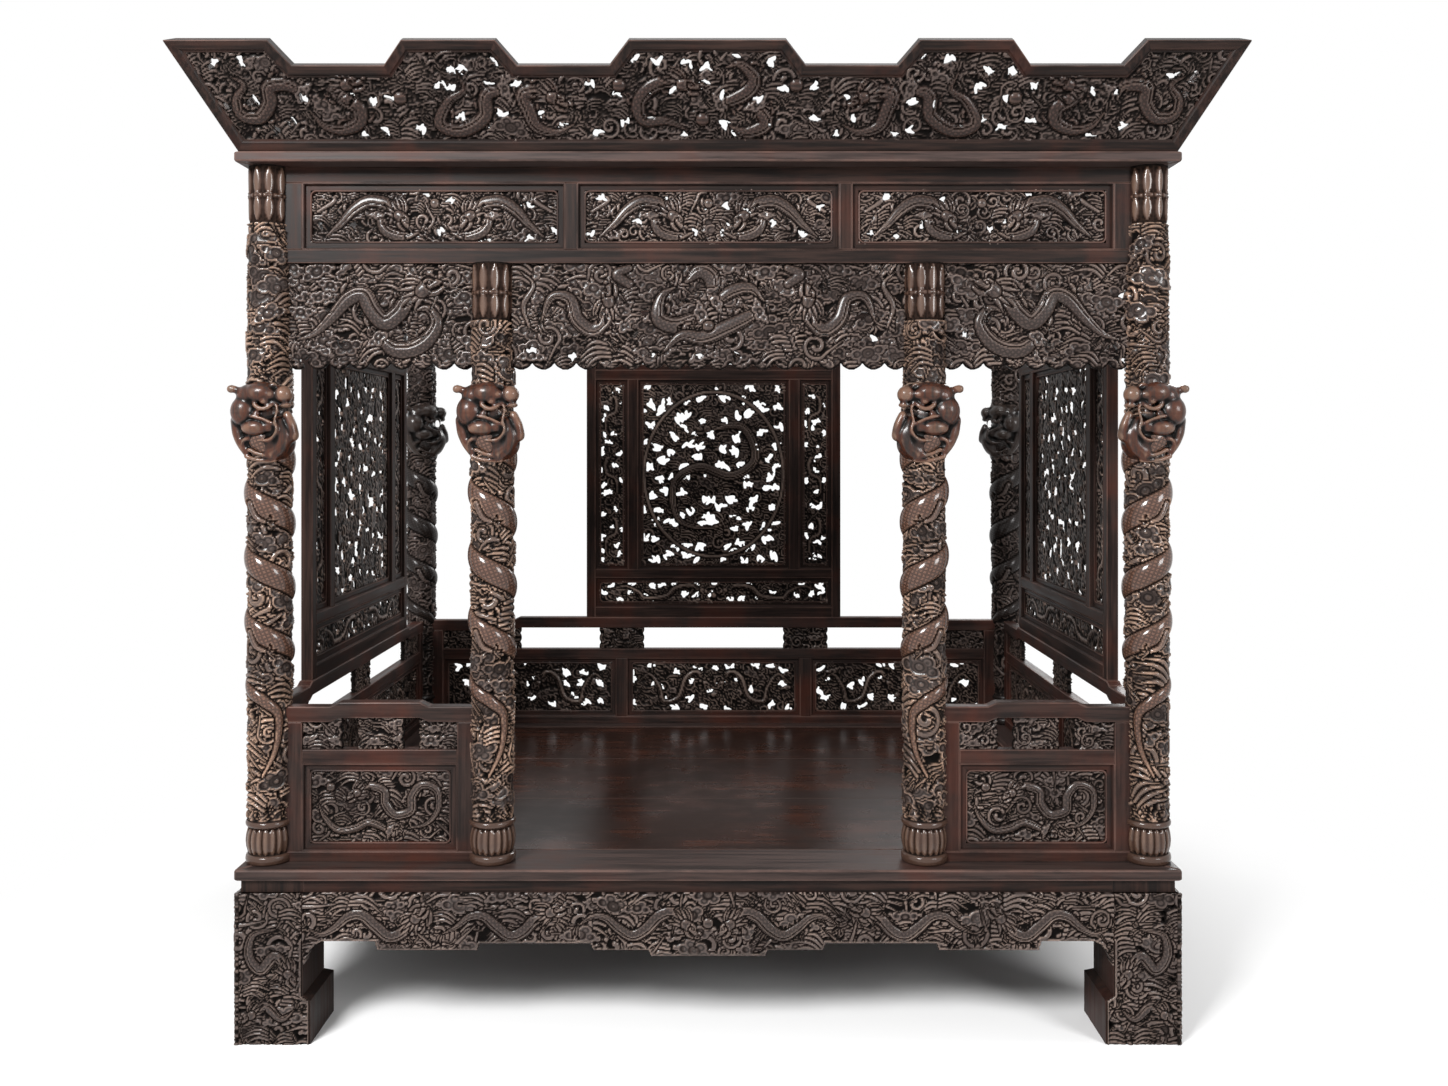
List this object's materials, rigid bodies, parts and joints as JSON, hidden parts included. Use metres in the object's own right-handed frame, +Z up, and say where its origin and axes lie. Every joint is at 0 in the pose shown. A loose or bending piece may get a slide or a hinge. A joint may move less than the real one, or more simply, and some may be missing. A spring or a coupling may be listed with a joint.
{
  "type": "alcove bed",
  "caption": "Canopy bed in carved dark hardwood: legged platform and deck, dragon posts, railings, screens, frieze, valance, cornice and leaning crown.",
  "frame": {"origin": "on the floor, at the middle of the outline's box", "axes": "+Z up, +X to the right as seen from the front, the entrance faces -Y"},
  "size_m": [2.42, 1.713, 2.2989],
  "materials": {
    "carved_hardwood": "dark brown hardwood, waxed, worn lighter on the high points",
    "plain_hardwood": "dark red-brown hardwood, waxed, rubbed lighter at the edges",
    "deck_hardwood": "dark red-brown boards, polished"
  },
  "bodies": {
    "root": {"leg_front_left": "carved_hardwood", "leg_front_right": "carved_hardwood", "leg_back_left": "carved_hardwood", "leg_back_right": "carved_hardwood", "apron_front": "carved_hardwood", "apron_right": "carved_hardwood", "apron_back": "carved_hardwood", "apron_left": "carved_hardwood", "platform_front": "plain_hardwood", "platform_right": "plain_hardwood", "platform_back": "plain_hardwood", "platform_left": "plain_hardwood", "deck_board_1": "deck_hardwood", "deck_board_2": "deck_hardwood", "deck_board_3": "deck_hardwood", "deck_bearer_1": "plain_hardwood", "deck_bearer_2": "plain_hardwood", "post_front_left": "carved_hardwood", "post_front_right": "carved_hardwood", "post_door_left": "carved_hardwood", "post_door_right": "carved_hardwood", "post_back_left": "carved_hardwood", "post_back_right": "carved_hardwood", "front_rail_left_frame": "plain_hardwood", "front_rail_left_panel": "carved_hardwood", "front_rail_right_frame": "plain_hardwood", "front_rail_right_panel": "carved_hardwood", "back_rail_frame": "plain_hardwood", "back_rail_panel_1": "carved_hardwood", "back_rail_panel_2": "carved_hardwood", "back_rail_panel_3": "carved_hardwood", "left_rail_frame": "plain_hardwood", "left_rail_panel_1": "carved_hardwood", "left_rail_panel_2": "carved_hardwood", "right_rail_frame": "plain_hardwood", "right_rail_panel_1": "carved_hardwood", "right_rail_panel_2": "carved_hardwood", "back_screen_frame": "plain_hardwood", "back_screen_panel": "carved_hardwood", "left_screen_frame": "plain_hardwood", "left_screen_panel": "carved_hardwood", "right_screen_frame": "plain_hardwood", "right_screen_panel": "carved_hardwood", "frieze_front_frame": "plain_hardwood", "frieze_front_panel_1": "carved_hardwood", "frieze_front_panel_2": "carved_hardwood", "frieze_front_panel_3": "carved_hardwood", "frieze_right_frame": "plain_hardwood", "frieze_back_frame": "plain_hardwood", "frieze_left_frame": "plain_hardwood", "valance_left": "carved_hardwood", "valance_centre": "carved_hardwood", "valance_right": "carved_hardwood", "cornice_front": "plain_hardwood", "cornice_right": "plain_hardwood", "cornice_back": "plain_hardwood", "cornice_left": "plain_hardwood", "crown_front": "carved_hardwood", "crown_left": "carved_hardwood", "crown_right": "carved_hardwood"}
  },
  "joints": []
}
